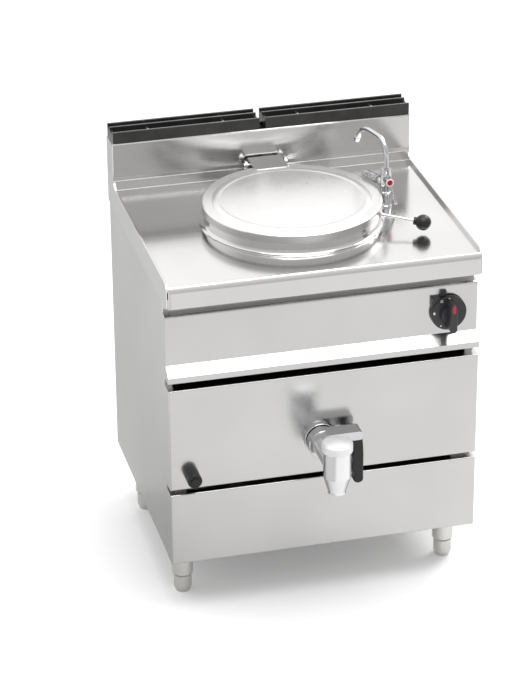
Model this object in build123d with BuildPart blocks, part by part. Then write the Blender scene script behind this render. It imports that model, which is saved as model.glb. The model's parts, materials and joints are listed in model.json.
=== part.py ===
from build123d import *
import math
import os

# Free-standing gas kettle with a steam jacket, an 800 mm module of a 700 mm deep range.
# Frame: +X to the right seen from the front, +Y to the rear, +Z up, in millimetres.
# The origin is on the floor, under the middle of the whole outline.

# ---------------------------------------------------------------- driving dimensions
width = 800.0
depth = 700.0  # worktop lip to rear edge
sheet = 2.0
fit_gap = 0.3  # between parts that only locate one another
run_gap = 0.08  # radial running clearance of turning parts

leg_height = 139.0
kick_height = 198.6
lower_joint = 13.7
front_height = 278.3
upper_joint = 21.8
control_height = 171.6
vent_gap = 33.5
lip_height = 54.5
rim_height = 9.5
rim_width = 5.0
lip_bead = 2.0
nose_radius = 10.0
riser_depth = 75.0
riser_foot = 26.0
riser_height = 99.0
riser_fold = 10.0
riser_step = 1.5
grille_height = 35.0
grille_bar = 7.0
grille_split = 8.0  # half the gap between the two grilles

front_setback = 12.0
control_setback = 35.0
panel_return = 48.0
side_inset = 1.0
side_fold = 20.0
slope_height = 22.6
slope_lip = 15.6
slope_toe = 10.0
control_fold = 6.0
rear_inset = 10.0

rail_height = 30.0
rail_width = 50.0
upright = 30.0
head_depth = 20.0
head_height = 76.0

vessel_setback = 333.0
vessel_radius = 200.0
vessel_wall = 2.5
vessel_depth = 415.0
vessel_corner = 30.0
rim_lip = 22.0  # flange beyond the vessel's inner wall
rim_thick = 3.0
collar_gap = 2.0
collar_height = 33.0
collar_spread = 12.0
collar_wall = 3.0
jacket_gap = 22.5
jacket_wall = 3.0
jacket_sump = 27.0
jacket_drop = 70.0
lagging_thick = 16.0

lid_overhang = 7.0
lid_rise = 54.0
lid_sheet = 2.0
lid_skirt = 21.5
lid_panel_radius = 193.0
lid_panel_rise = 1.5
lid_round = 4.0
drip_radius = 196.5
drip_depth = 27.0
hinge_back = 267.0
hinge_drop = 12.0
plate_half = 45.0
plate_thick = 3.0
plate_back = 18.0
knuckle_radius = 9.5
pin_radius = 6.0
pin_half = 59.0
cheek_thick = 5.0
cheek_round = 13.0
bracket_thick = 4.0
handle_angle = -30.5
rod_radius = 4.0
rod_start_drop = 15.0
rod_end_drop = 24.0
ball_reach = 341.0
ball_radius = 20.0

tap_x = -13.0
tap_drop = 79.5  # below the vessel's underside
tap_reach = 157.0
tap_cap_radius = 39.0
tap_cap_rise = 46.0
tap_cap_height = 25.0
tap_dome = 4.0
tap_body_radius = 35.0
tap_taper_drop = 24.0
tap_mouth_radius = 23.0
tap_mouth_drop = 70.0
tap_bend = 32.0
tap_bore = 17.0
tap_pipe_radius = 19.0
barrel_radius = 29.0
barrel_tail = 40.0
flange_radius = 42.0
flange_thick = 8.0
hub_radius = 40.0
hub_back = 13.0
hub_front = 42.0
arm_back = 22.0
arm_front = 67.0
arm_reach = 92.0
arm_thick = 23.0
grip_length = 126.5
grip_start = 18.5
grip_pitch = 16.0
plug_thick = 6.0

knob_inset = 78.0
knob_rise = 97.6
knob_skirt_radius = 46.0
knob_skirt_back = 3.0
knob_skirt_front = 13.0
knob_hub_radius = 26.0
knob_front = 55.0
knob_grip_width = 22.0
knob_grip_height = 78.0
bezel_radius = 43.5
bezel_thick = 2.0
guard_size = 44.0
guard_gap = 1.5
tab_width = 15.0
tab_height = 16.0
tab_thick = 6.0
tab_offset = -13.5
spindle_radius = 5.0

igniter_inset = 56.0
igniter_rise = 39.7
igniter_radius = 18.5
igniter_depth = 38.0
button_radius = 10.0
button_proud = 4.0
button_travel = 3.0

gas_inset = 100.0
gas_z = 230.0
cold_line_z = 265.0
hot_line_z = 300.0
inlet_radius = 10.5

leg_inset = 50.0
leg_front = 117.0
leg_rear = 140.0
foot_radius = 23.2
foot_height = 47.0
foot_chamfer = 5.0
socket_radius = 27.0
socket_bore = 23.5
socket_low = 52.0
stem_radius = 8.0

faucet_gap = 0.5
faucet_setback = 348.0
faucet_foot = 16.0
faucet_waist = 10.0
faucet_neck = 8.5
faucet_body = 14.5
faucet_height = 90.0
faucet_shank = 30.0
spout_radius = 6.0
spout_column = 45.0
spout_park = 104.0
spout_bend = 44.0
spout_flat = 38.0
spout_fall = 66.0
spout_fall_angle = 60.0
aerator_radius = 7.5
aerator_bore = 5.0
aerator_length = 14.0
hot_rise = 77.0
hot_angle = -73.0
hot_lever = 66.0
cold_rise = 62.0
cold_angle = 111.5
cold_radius = 11.0

# ---------------------------------------------------------------- derived places
half = width / 2
rim_radius = vessel_radius + rim_lip
collar_radius = rim_radius + collar_gap
collar_foot = collar_radius + collar_spread
jacket_radius = vessel_radius + vessel_wall + jacket_gap
lid_radius = rim_radius + lid_overhang
panel_half = half - side_inset
overhang = tap_reach + tap_cap_radius - front_setback
front_y = (overhang - depth) / 2
rear_y = front_y + depth
panel_y = front_y + front_setback
control_y = front_y + control_setback
frame_y = panel_y + panel_return
riser_y = rear_y - riser_depth
side_rear = rear_y - rear_inset
vessel_y = front_y + vessel_setback
hinge_y = vessel_y + hinge_back
tap_y = panel_y - tap_reach
faucet_y = front_y + faucet_setback
leg_front_y = front_y + leg_front
leg_rear_y = rear_y - leg_rear
chamber_y = vessel_y + 25

kick_top = leg_height + kick_height
front_low = kick_top + lower_joint
front_top = front_low + front_height
control_low = front_top + upper_joint
control_top = control_low + control_height
lip_z = control_top + vent_gap
floor_z = lip_z + lip_height
rim_z = floor_z + rim_height
upstand_z = floor_z + riser_foot
riser_top = upstand_z + riser_height
flange_z = floor_z + collar_height + rim_thick
bowl_z = flange_z - vessel_depth
sump_z = bowl_z - vessel_wall - jacket_sump
rail_top = leg_height + rail_height
bearer_top = rail_top + rail_height
lid_height = floor_z + lid_rise
hinge_z = lid_height - hinge_drop
rod_start_height = lid_height - rod_start_drop
rod_end_height = lid_height - rod_end_drop
base_z = bowl_z - vessel_wall
tap_height = base_z - tap_drop
tap_cap_low = tap_height + tap_cap_rise
tap_cap_high = tap_cap_low + tap_cap_height
tap_body_low = tap_height - tap_taper_drop
tap_mouth_z = tap_height - tap_mouth_drop
knob_x = half - knob_inset
knob_z = control_low + knob_rise
igniter_x = igniter_inset - half
igniter_z = front_low + igniter_rise
gas_x = half - gas_inset
leg_x = half - leg_inset
faucet_x = collar_foot + faucet_foot + faucet_gap
faucet_top = floor_z + faucet_height
spout_rise = faucet_top + spout_column
hot_z = floor_z + hot_rise
cold_z = floor_z + cold_rise

turning = Plane(origin=(0, vessel_y, 0), x_dir=(1, 0, 0), z_dir=(0, -1, 0))
vessel_axis = Axis((0, vessel_y, 0), (0, 0, 1))
tap_turning = Plane(origin=(tap_x, tap_y, 0), x_dir=(1, 0, 0), z_dir=(0, -1, 0))
tap_axis = Axis((tap_x, tap_y, 0), (0, 0, 1))

os.makedirs("parts", exist_ok=True)


def save(builder, name):
    builder.part.label = name
    export_step(builder.part, "parts/" + name + ".step")


def front_plane(y):
    """Sketch plane facing the front at a given depth; local x is X and local y is Z."""
    return Plane(origin=(0, y, 0), x_dir=(1, 0, 0), z_dir=(0, -1, 0))


def tray(size, centre, outward, radius):
    """Folded sheet tray: rounded on its outer side, open on the other."""
    with BuildPart() as pan:
        with Locations(centre):
            Box(*size)
        outer = pan.faces().sort_by(outward)[0]
        fillet(outer.edges(), radius=radius)
        inner = pan.faces().sort_by(outward)[-1]
        offset(amount=-sheet, openings=inner)
    return pan


# ---------------------------------------------------------------- worktop
with BuildPart() as worktop:
    with BuildSketch(Plane.YZ):
        with BuildLine():
            side1 = Line((front_y, lip_z), (front_y, floor_z - 12))
            side2 = ThreePointArc(side1 @ 1, (front_y + 9, rim_z - 7), (front_y + 32, rim_z))
            side3 = Line(side2 @ 1, (riser_y - 24, rim_z))
            side4 = ThreePointArc(side3 @ 1, (riser_y - 8, rim_z + 6), (riser_y, upstand_z))
            Polyline(side4 @ 1, (rear_y, upstand_z), (rear_y, lip_z), side1 @ 0)
        make_face()
    extrude(amount=half, both=True)
    corners = worktop.edges().filter_by(Axis.Z).group_by(Axis.Y)[0]
    fillet(corners, radius=nose_radius)
    # well, ahead of it the bead and the bull nose
    with BuildSketch(Plane.YZ):
        with BuildLine():
            nose_z = floor_z + lip_bead - nose_radius
            arc_mid = nose_radius * (1 - math.sqrt(0.5))
            well1 = Polyline((front_y - 20, floor_z + 60), (front_y - 20, nose_z), (front_y, nose_z))
            well2 = ThreePointArc(
                well1 @ 1,
                (front_y + arc_mid, floor_z + lip_bead - arc_mid),
                (front_y + nose_radius, floor_z + lip_bead),
            )
            Polyline(
                well2 @ 1,
                (front_y + nose_radius + 5, floor_z),
                (riser_y, floor_z),
                (riser_y, floor_z + 60),
                well1 @ 0,
            )
        make_face()
    extrude(amount=half - rim_width, both=True, mode=Mode.SUBTRACT)
    # hollow underside
    with BuildSketch(Plane.YZ):
        with BuildLine():
            Polyline(
                (front_y + sheet, lip_z - 1),
                (front_y + sheet, nose_z - 1),
                (front_y + nose_radius, floor_z - sheet),
                (riser_y + sheet, floor_z - sheet),
                (riser_y + sheet, upstand_z - sheet),
                (rear_y - sheet, upstand_z - sheet),
                (rear_y - sheet, lip_z - 1),
                close=True,
            )
        make_face()
    extrude(amount=half - sheet, both=True, mode=Mode.SUBTRACT)
    # openings for the vessel, the faucet shank and the flue
    with BuildSketch(Plane.XY.offset(floor_z - sheet - 1)):
        with Locations((0, vessel_y)):
            Circle(collar_radius - 8)
        with Locations((faucet_x, faucet_y)):
            Circle(faucet_waist + 2)
    extrude(amount=sheet + 2, mode=Mode.SUBTRACT)
    with BuildSketch(Plane.XY.offset(upstand_z - sheet - 1)):
        with Locations((0, (riser_y + rear_y) / 2)):
            Rectangle(width - 60, riser_depth - 14)
    extrude(amount=sheet + 2, mode=Mode.SUBTRACT)
    with Locations((0, hinge_y - 2, floor_z)):
        with GridLocations(60, 30, 2, 2):
            Cylinder(3.3, 10, mode=Mode.SUBTRACT)
save(worktop, "worktop")

# ---------------------------------------------------------------- cabinet panels
side_low = leg_height
side_high = lip_z - 0.5
side_size = (side_fold, side_rear - frame_y, side_high - side_low)
side_centre = (panel_half - side_fold / 2, (frame_y + side_rear) / 2, (side_low + side_high) / 2)
side_panel_right = tray(side_size, side_centre, Axis((0, 0, 0), (-1, 0, 0)), sheet + 0.5)
save(side_panel_right, "side_panel_right")

with BuildPart() as side_panel_left:
    add(side_panel_right.part)
    mirror(about=Plane.YZ, mode=Mode.REPLACE)
save(side_panel_left, "side_panel_left")

front_tray = tray(
    (2 * panel_half, panel_return, front_height),
    (0, panel_y + panel_return / 2, front_low + front_height / 2),
    Axis.Y,
    sheet + 1,
)
with BuildPart() as front_panel:
    add(front_tray.part)
    with BuildSketch(front_plane(panel_y - 1)):
        with Locations((tap_x, tap_height)):
            Circle(barrel_radius + fit_gap)
        with Locations((igniter_x, igniter_z)):
            Circle(button_radius + 1 + fit_gap)
    extrude(amount=-(sheet + 2), mode=Mode.SUBTRACT)
save(front_panel, "front_panel")

kick_panel = tray(
    (2 * panel_half, panel_return, kick_height),
    (0, panel_y + panel_return / 2, leg_height + kick_height / 2),
    Axis.Y,
    sheet + 1,
)
save(kick_panel, "kick_panel")

with BuildPart() as control_panel:
    slope_foot = control_low + slope_lip
    slope_top = slope_foot + slope_height
    toe_y = panel_y + sheet - slope_toe / 2
    with BuildSketch(Plane.YZ):
        with BuildLine():
            Polyline(
                (frame_y, control_top),
                (control_y, control_top),
                (control_y, slope_top),
                (toe_y, slope_foot),
                (toe_y, control_low),
                (frame_y, control_low),
                close=True,
            )
        make_face()
        crest = vertices().group_by(Axis.Y)[-1].sort_by(Axis.X)[0]
        fillet(crest, radius=control_fold)
    extrude(amount=panel_half, both=True)
    behind = control_panel.faces().sort_by(Axis.Y)[-1]
    offset(amount=-sheet, openings=behind)
    with BuildSketch(front_plane(control_y - 1)):
        with Locations((knob_x, knob_z)):
            Circle(spindle_radius + 3)
    extrude(amount=-(sheet + 2), mode=Mode.SUBTRACT)
save(control_panel, "control_panel")

with BuildPart() as rear_panel:
    rear_low = leg_height
    rear_high = lip_z - 1
    rear_inner = 2 * (panel_half - side_fold)
    rear_mid = (rear_low + rear_high) / 2
    with BuildSketch(front_plane(side_rear)):
        with Locations((0, rear_mid)):
            Rectangle(rear_inner, rear_high - rear_low)
        with Locations((0, 650)):
            with GridLocations(90, 40, 5, 3):
                SlotOverall(60, 10, mode=Mode.SUBTRACT)
        with Locations((gas_x, gas_z), (faucet_x, cold_line_z), (faucet_x, hot_line_z)):
            Circle(inlet_radius + 0.7, mode=Mode.SUBTRACT)
    extrude(amount=sheet)
    with BuildSketch(front_plane(side_rear)):
        with Locations((0, rear_mid)):
            Rectangle(rear_inner, rear_high - rear_low)
            Rectangle(rear_inner - 2 * sheet, rear_high - rear_low - 2 * sheet, mode=Mode.SUBTRACT)
    extrude(amount=14)
save(rear_panel, "rear_panel")

# ---------------------------------------------------------------- inner frame
frame_mid = (frame_y + side_rear - 14) / 2
frame_length = side_rear - 14 - frame_y
rail_x = panel_half - side_fold - rail_width / 2
cross_length = 2 * (panel_half - side_fold)
cross_half = cross_length / 2


def square_tube(size, centre, wall, along):
    """Rectangular tube, open at both ends along one axis."""
    inner = [length - 2 * wall for length in size]
    inner[along] = size[along]
    with BuildPart() as tube:
        with Locations(centre):
            Box(*size)
            Box(*inner, mode=Mode.SUBTRACT)
    return tube


long_rail = square_tube(
    (rail_width, frame_length, rail_height), (rail_x, frame_mid, leg_height + rail_height / 2), 3, 1
)
cross_rail = square_tube((2 * rail_x - rail_width, rail_height, rail_height), (0, 0, 0), 3, 0)
bearer = square_tube((cross_length, rail_height, rail_height), (0, 0, 0), 3, 0)
with BuildPart() as base_frame:
    add(long_rail.part)
    mirror(about=Plane.YZ)
    with Locations((0, leg_front_y, leg_height + 15), (0, leg_rear_y, leg_height + 15)):
        add(cross_rail.part)
    with Locations((0, chamber_y - 100, rail_top + 15), (0, chamber_y + 100, rail_top + 15)):
        add(bearer.part)
save(base_frame, "base_frame")

with BuildPart() as bottom_panel:
    leg_points = [(x, y) for x in (-leg_x, leg_x) for y in (leg_front_y, leg_rear_y)]
    with BuildSketch(Plane.XY.offset(leg_height)):
        with Locations((0, frame_mid)):
            Rectangle(cross_length - fit_gap, frame_length - fit_gap)
        with Locations(*leg_points):
            Circle(socket_radius + 10, mode=Mode.SUBTRACT)
        with Locations((0, chamber_y)):
            with GridLocations(60, 44, 5, 4):
                SlotOverall(40, 10, mode=Mode.SUBTRACT)
    extrude(amount=-sheet)
save(bottom_panel, "bottom_panel")

post_height = floor_z - sheet - rail_top
post = square_tube((upright, upright, post_height), (0, 0, rail_top + post_height / 2), 2, 2)
tie = square_tube((cross_length - 2 * upright, upright, upright), (0, frame_y + 15, 640), 2, 0)
head_rail = square_tube(
    (cross_length - 2 * upright, head_depth, head_height),
    (0, frame_y + head_depth / 2, control_top + vent_gap / 2),
    2,
    0,
)
with BuildPart() as body_frame:
    post_x = cross_half - upright / 2
    post_places = [(x, y, 0) for x in (-post_x, post_x) for y in (frame_y + 15, riser_y - 20)]
    with Locations(*post_places):
        add(post.part)
    add(tie.part)
    add(head_rail.part)
save(body_frame, "body_frame")

# ---------------------------------------------------------------- riser and grilles
with BuildPart() as flue_riser:
    face_y = riser_y + riser_step
    with BuildSketch(Plane.YZ):
        with BuildLine():
            Polyline(
                (riser_y, upstand_z),
                (face_y, upstand_z + riser_fold),
                (face_y, riser_top),
                (rear_y, riser_top),
                (rear_y, upstand_z),
                close=True,
            )
        make_face()
    extrude(amount=half, both=True)
    fold_edges = flue_riser.edges().filter_by(Axis.Z).group_by(Axis.Y)[0]
    fillet(fold_edges, radius=2.5)
    inner_depth = rear_y - face_y - 2 * sheet
    with Locations((0, face_y + sheet + inner_depth / 2, (upstand_z + riser_top - sheet) / 2 - 1)):
        Box(width - 2 * sheet, inner_depth, riser_height - sheet + 2, mode=Mode.SUBTRACT)
    with Locations((0, (face_y + rear_y) / 2, riser_top - 1)):
        Box(width - 24, riser_depth - 22, 8, mode=Mode.SUBTRACT)
save(flue_riser, "flue_riser")


def grille(sign):
    """One half of the flue grille: three long bars tied by cross ribs, with a screw boss."""
    near = sign * grille_split
    far = sign * (half - 3)
    mid = (near + far) / 2
    length = abs(far - near)
    front_bar_y = riser_y + 1 + grille_bar / 2
    rear_bar_y = rear_y - grille_bar / 2
    middle_bar_y = riser_y + 45
    grille_mid = riser_top + grille_height / 2
    boss = sign * 200
    with BuildPart() as piece:
        with Locations((mid, front_bar_y, grille_mid), (mid, rear_bar_y, grille_mid)):
            Box(length, grille_bar, grille_height)
        with Locations((mid, middle_bar_y, grille_mid + 3)):
            Box(length, grille_bar - 1, grille_height - 6)
        ribs = [near + sign * 3.5, sign * 100, sign * 300, far - sign * 3.5]
        rib_places = [(x, (front_bar_y + rear_bar_y) / 2, grille_mid - 4) for x in ribs]
        with Locations(*rib_places):
            Box(7, rear_bar_y - front_bar_y, grille_height - 8)
        with Locations((boss, middle_bar_y + 14, riser_top + 5)):
            Box(30, 28, 6)
        with BuildSketch(Plane.XY.offset(riser_top)):
            with Locations((boss, middle_bar_y + 13)):
                Circle(9)
        extrude(amount=24)
        with Locations((boss, middle_bar_y + 13, riser_top + 12)):
            Cylinder(3.2, 30, mode=Mode.SUBTRACT)
        top_edges = piece.edges().filter_by(Axis.X).group_by(Axis.Z)[-1]
        fillet(top_edges, radius=1.5)
    return piece


flue_grille_right = grille(1)
save(flue_grille_right, "flue_grille_right")
flue_grille_left = grille(-1)
save(flue_grille_left, "flue_grille_left")

with BuildPart() as grille_screw:
    with BuildSketch(Plane.XY.offset(riser_top + 24)):
        Circle(7)
        RegularPolygon(3, 6, mode=Mode.SUBTRACT)
    extrude(amount=5)
    with BuildSketch(Plane.XY.offset(riser_top + 24)):
        Circle(7)
    extrude(amount=1)
    with BuildSketch(Plane.XY.offset(riser_top - 4)):
        Circle(2.8)
    extrude(amount=29)
    fillet(grille_screw.edges().filter_by(GeomType.CIRCLE).group_by(Axis.Z)[-1], radius=1)
with BuildPart() as grille_screws:
    with Locations((200, riser_y + 58, 0), (-200, riser_y + 58, 0)):
        add(grille_screw.part)
save(grille_screws, "grille_screws")

# ---------------------------------------------------------------- vessel, collar, jacket
with BuildPart() as vessel:
    corner = vessel_corner
    flat = vessel_radius - corner
    outer_corner = corner + vessel_wall
    turn = math.sqrt(0.5)
    with BuildSketch(turning):
        with BuildLine():
            bowl1 = Line((0, bowl_z), (flat, bowl_z))
            bowl2 = ThreePointArc(
                bowl1 @ 1,
                (flat + corner * turn, bowl_z + corner - corner * turn),
                (vessel_radius, bowl_z + corner),
            )
            bowl3 = Polyline(
                bowl2 @ 1,
                (vessel_radius, flange_z),
                (rim_radius, flange_z),
                (rim_radius, flange_z - rim_thick),
                (vessel_radius + vessel_wall, flange_z - rim_thick),
                (vessel_radius + vessel_wall, bowl_z + corner),
            )
            bowl4 = ThreePointArc(
                bowl3 @ 1,
                (flat + outer_corner * turn, bowl_z + corner - outer_corner * turn),
                (flat, base_z),
            )
            Polyline(bowl4 @ 1, (0, base_z), (0, bowl_z))
        make_face()
    revolve(axis=vessel_axis)
    fillet(vessel.edges().filter_by(GeomType.CIRCLE).group_by(Axis.Z)[-1], radius=1.2)
    drain_y = vessel_y - 150
    with Locations((tap_x, drain_y, bowl_z)):
        Cylinder(tap_bore, 12, mode=Mode.SUBTRACT)
# the flat bottom and the wall with its rounded corner are two pressings, welded edge to edge
with BuildPart() as bottom_disc:
    with BuildSketch(Plane.XY.offset(base_z)):
        with Locations((0, vessel_y)):
            Circle(flat)
    extrude(amount=vessel_wall)
pressed_wall = (vessel.part - bottom_disc.part).solids()
pressed_bottom = (vessel.part & bottom_disc.part).solids()
vessel_pressings = Compound(label="vessel", children=[*pressed_wall, *pressed_bottom])
export_step(vessel_pressings, "parts/vessel.step")

with BuildPart() as vessel_collar:
    with BuildSketch(turning):
        with BuildLine():
            foot_rise = 12
            collar1 = Polyline((collar_radius - 8, floor_z), (collar_foot, floor_z), (collar_foot, floor_z + 1))
            collar2 = ThreePointArc(
                collar1 @ 1,
                (collar_radius + 3.6, floor_z + 4.6),
                (collar_radius, floor_z + 1 + foot_rise),
            )
            Polyline(
                collar2 @ 1,
                (collar_radius, floor_z + collar_height),
                (collar_radius - 10, floor_z + collar_height),
                (collar_radius - 10, floor_z + collar_height - collar_wall),
                (collar_radius - collar_wall, floor_z + collar_height - collar_wall),
                (collar_radius - collar_wall, floor_z + collar_wall),
                collar1 @ 0,
            )
        make_face()
    revolve(axis=vessel_axis)
save(vessel_collar, "vessel_collar")

with BuildPart() as jacket_shell:
    jacket_top = flange_z - jacket_drop
    sweep_out = 35.0
    sweep_in = sweep_out - jacket_wall
    knee = jacket_radius - sweep_out
    neck = vessel_radius + vessel_wall + fit_gap
    with BuildSketch(turning):
        with BuildLine():
            shell1 = Line((0, sump_z), (knee, sump_z))
            shell2 = ThreePointArc(
                shell1 @ 1,
                (knee + sweep_out * turn, sump_z + sweep_out - sweep_out * turn),
                (jacket_radius, sump_z + sweep_out),
            )
            shell3 = Polyline(
                shell2 @ 1,
                (jacket_radius, jacket_top),
                (neck, jacket_top),
                (neck, jacket_top - jacket_wall),
                (jacket_radius - jacket_wall, jacket_top - jacket_wall),
                (jacket_radius - jacket_wall, sump_z + sweep_out),
            )
            shell4 = ThreePointArc(
                shell3 @ 1,
                (knee + sweep_in * turn, sump_z + sweep_out - sweep_in * turn),
                (knee, sump_z + jacket_wall),
            )
            Polyline(shell4 @ 1, (0, sump_z + jacket_wall), (0, sump_z))
        make_face()
    revolve(axis=vessel_axis)
    with Locations((tap_x, drain_y, sump_z)):
        Cylinder(tap_pipe_radius + fit_gap, 20, mode=Mode.SUBTRACT)
save(jacket_shell, "jacket_shell")

safety_z = 820.0
with BuildPart() as jacket_lagging:
    with BuildSketch(Plane.XY.offset(sump_z + sweep_out)):
        with Locations((0, vessel_y)):
            Circle(jacket_radius + fit_gap + lagging_thick)
            Circle(jacket_radius + fit_gap, mode=Mode.SUBTRACT)
    extrude(amount=jacket_top - sump_z - sweep_out)
    with Locations(Location((-jacket_radius - 10, vessel_y, safety_z), (0, 90, 0))):
        Cylinder(14, 60, mode=Mode.SUBTRACT)
save(jacket_lagging, "jacket_lagging")

with BuildPart() as safety_valve:
    stub_plane = Plane(origin=(-jacket_radius - fit_gap, vessel_y, safety_z), x_dir=(0, 1, 0), z_dir=(-1, 0, 0))
    with BuildSketch(stub_plane):
        Circle(10)
    extrude(amount=62)
    with BuildSketch(stub_plane.offset(24)):
        RegularPolygon(15, 6)
    extrude(amount=10)
    with Locations((-jacket_radius - 62, vessel_y, safety_z + 8)):
        Cylinder(15, 46)
    with Locations((-jacket_radius - 62, vessel_y, safety_z + 38)):
        Cylinder(11, 20)
    with Locations((-jacket_radius - 62, vessel_y, safety_z - 22)):
        Cylinder(9, 24)
    fillet(safety_valve.edges().filter_by(GeomType.CIRCLE).group_by(Axis.Z)[-1], radius=3)
save(safety_valve, "safety_valve")

# ---------------------------------------------------------------- lid, handle and hinge
with BuildPart() as lid:
    with BuildSketch(turning):
        with BuildLine():
            skirt_in = lid_radius - vessel_wall
            skirt_low = lid_height - lid_skirt
            round_mid = lid_round * (1 - turn)
            lid1 = Polyline(
                (0, lid_height + lid_panel_rise),
                (lid_panel_radius - 2, lid_height + lid_panel_rise),
                (lid_panel_radius, lid_height),
                (lid_radius - lid_round, lid_height),
            )
            lid2 = ThreePointArc(
                lid1 @ 1,
                (lid_radius - round_mid, lid_height - round_mid),
                (lid_radius, lid_height - lid_round),
            )
            Polyline(
                lid2 @ 1,
                (lid_radius, skirt_low),
                (skirt_in, skirt_low),
                (skirt_in, lid_height - lid_sheet - 1),
                (skirt_in - 1, lid_height - lid_sheet),
                (drip_radius, lid_height - lid_sheet),
                (drip_radius, lid_height - drip_depth),
                (drip_radius - 2, lid_height - drip_depth),
                (drip_radius - 2, lid_height - lid_sheet),
                (lid_panel_radius - 2, lid_height - lid_sheet + lid_panel_rise),
                (0, lid_height - lid_sheet + lid_panel_rise),
                lid1 @ 0,
            )
        make_face()
    revolve(axis=vessel_axis)
save(lid, "lid")

plate_rear = hinge_y + plate_back
plate_front = vessel_y + lid_panel_radius + 8
with BuildPart() as lid_hinge_plate:
    with BuildSketch(Plane.XY.offset(lid_height)):
        with BuildLine():
            Polyline(
                (-plate_half - 6, plate_front + 8),
                (-plate_half, plate_front + 16),
                (-plate_half, plate_rear),
                (plate_half, plate_rear),
                (plate_half, plate_front + 16),
                (plate_half + 6, plate_front + 8),
                (plate_half - 6, plate_front),
                (-plate_half + 6, plate_front),
                close=True,
            )
        make_face()
    extrude(amount=plate_thick)
    rear_edges = lid_hinge_plate.edges().filter_by(Axis.X).group_by(Axis.Y)[-1].sort_by(Axis.Z)[-1]
    fillet(rear_edges, radius=2)
save(lid_hinge_plate, "lid_hinge_plate")

with BuildPart() as lid_knuckle:
    knuckle_plane = Plane(origin=(-plate_half, hinge_y, hinge_z), x_dir=(0, 1, 0), z_dir=(1, 0, 0))
    with BuildSketch(knuckle_plane):
        Circle(knuckle_radius)
        with Locations((0, hinge_drop / 2)):
            Rectangle(2 * knuckle_radius, hinge_drop)
        Circle(pin_radius + run_gap, mode=Mode.SUBTRACT)
    extrude(amount=2 * plate_half)
save(lid_knuckle, "lid_knuckle")

bracket_half = plate_half + cheek_thick + cheek_thick
with BuildPart() as hinge_bracket:
    with Locations((0, hinge_y - 2, floor_z + bracket_thick / 2)):
        Box(2 * bracket_half + 4, 52, bracket_thick)
    for side in (-1, 1):
        cheek_plane = Plane(
            origin=(side * (plate_half + cheek_thick + cheek_thick / 2), hinge_y, hinge_z),
            x_dir=(0, 1, 0),
            z_dir=(1, 0, 0),
        )
        foot_drop = hinge_z - floor_z - bracket_thick
        with BuildSketch(cheek_plane):
            with BuildLine():
                cheek1 = Line((-22, -foot_drop), (-cheek_round, 0))
                cheek2 = ThreePointArc(cheek1 @ 1, (0, cheek_round), (cheek_round, 0))
                Polyline(cheek2 @ 1, (20, -foot_drop), cheek1 @ 0)
            make_face()
            Circle(pin_radius + run_gap, mode=Mode.SUBTRACT)
        extrude(amount=cheek_thick / 2, both=True)
    with BuildSketch(Plane.XY.offset(floor_z)):
        with Locations((0, hinge_y - 2)):
            with GridLocations(60, 30, 2, 2):
                Circle(3.3)
    extrude(amount=bracket_thick, mode=Mode.SUBTRACT)
save(hinge_bracket, "hinge_bracket")

with BuildPart() as bracket_screws:
    with Locations((0, hinge_y - 2, floor_z - 4)):
        with GridLocations(60, 30, 2, 2):
            Cylinder(3, bracket_thick + 4, align=(Align.CENTER, Align.CENTER, Align.MIN))
    with BuildSketch(Plane.XY.offset(floor_z + bracket_thick)):
        with Locations((0, hinge_y - 2)):
            with GridLocations(60, 30, 2, 2):
                RegularPolygon(6, 6)
    extrude(amount=4)
save(bracket_screws, "bracket_screws")

with BuildPart() as hinge_pin:
    pin_plane = Plane(origin=(-pin_half, hinge_y, hinge_z), x_dir=(0, 1, 0), z_dir=(1, 0, 0))
    with BuildSketch(pin_plane):
        Circle(pin_radius)
    extrude(amount=2 * pin_half)
    with BuildSketch(pin_plane):
        Circle(pin_radius + 2)
    extrude(amount=pin_half - bracket_half - fit_gap)
    with BuildSketch(pin_plane.offset(2 * pin_half)):
        Circle(pin_radius + 2)
    extrude(amount=-(pin_half - bracket_half - fit_gap))
    pin_ends = hinge_pin.edges().filter_by(GeomType.CIRCLE).group_by(Axis.X)
    fillet(pin_ends[0] + pin_ends[-1], radius=1.2)
save(hinge_pin, "hinge_pin")

handle_turn = math.radians(handle_angle)
rod_foot = Vector(
    (lid_radius + fit_gap / 3) * math.cos(handle_turn),
    vessel_y + (lid_radius + fit_gap / 3) * math.sin(handle_turn),
    rod_start_height,
)
rod_outward = Vector(math.cos(handle_turn), math.sin(handle_turn), 0)
rod_from = rod_foot + rod_outward * 1.5
ball_centre = Vector(
    ball_reach * math.cos(handle_turn), vessel_y + ball_reach * math.sin(handle_turn), rod_end_height - 1
)
rod_line = (ball_centre - rod_from).normalized()
with BuildPart() as lid_handle_rod:
    rod_plane = Plane(origin=rod_from, z_dir=rod_line)
    with BuildSketch(rod_plane):
        Circle(rod_radius)
    extrude(amount=(ball_centre - rod_from).length - ball_radius + 12)
    with BuildSketch(Plane(origin=rod_foot, z_dir=rod_outward)):
        RegularPolygon(8, 6)
    extrude(amount=5)
save(lid_handle_rod, "lid_handle_rod")

with BuildPart() as lid_handle_ball:
    with Locations(ball_centre):
        Sphere(ball_radius)
    ball_plane = Plane(origin=ball_centre - rod_line * (ball_radius + 4), z_dir=rod_line)
    with BuildSketch(ball_plane):
        Circle(10)
    extrude(amount=10)
    with BuildSketch(ball_plane):
        Circle(rod_radius)
    extrude(amount=16, mode=Mode.SUBTRACT)
save(lid_handle_ball, "lid_handle_ball")

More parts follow.
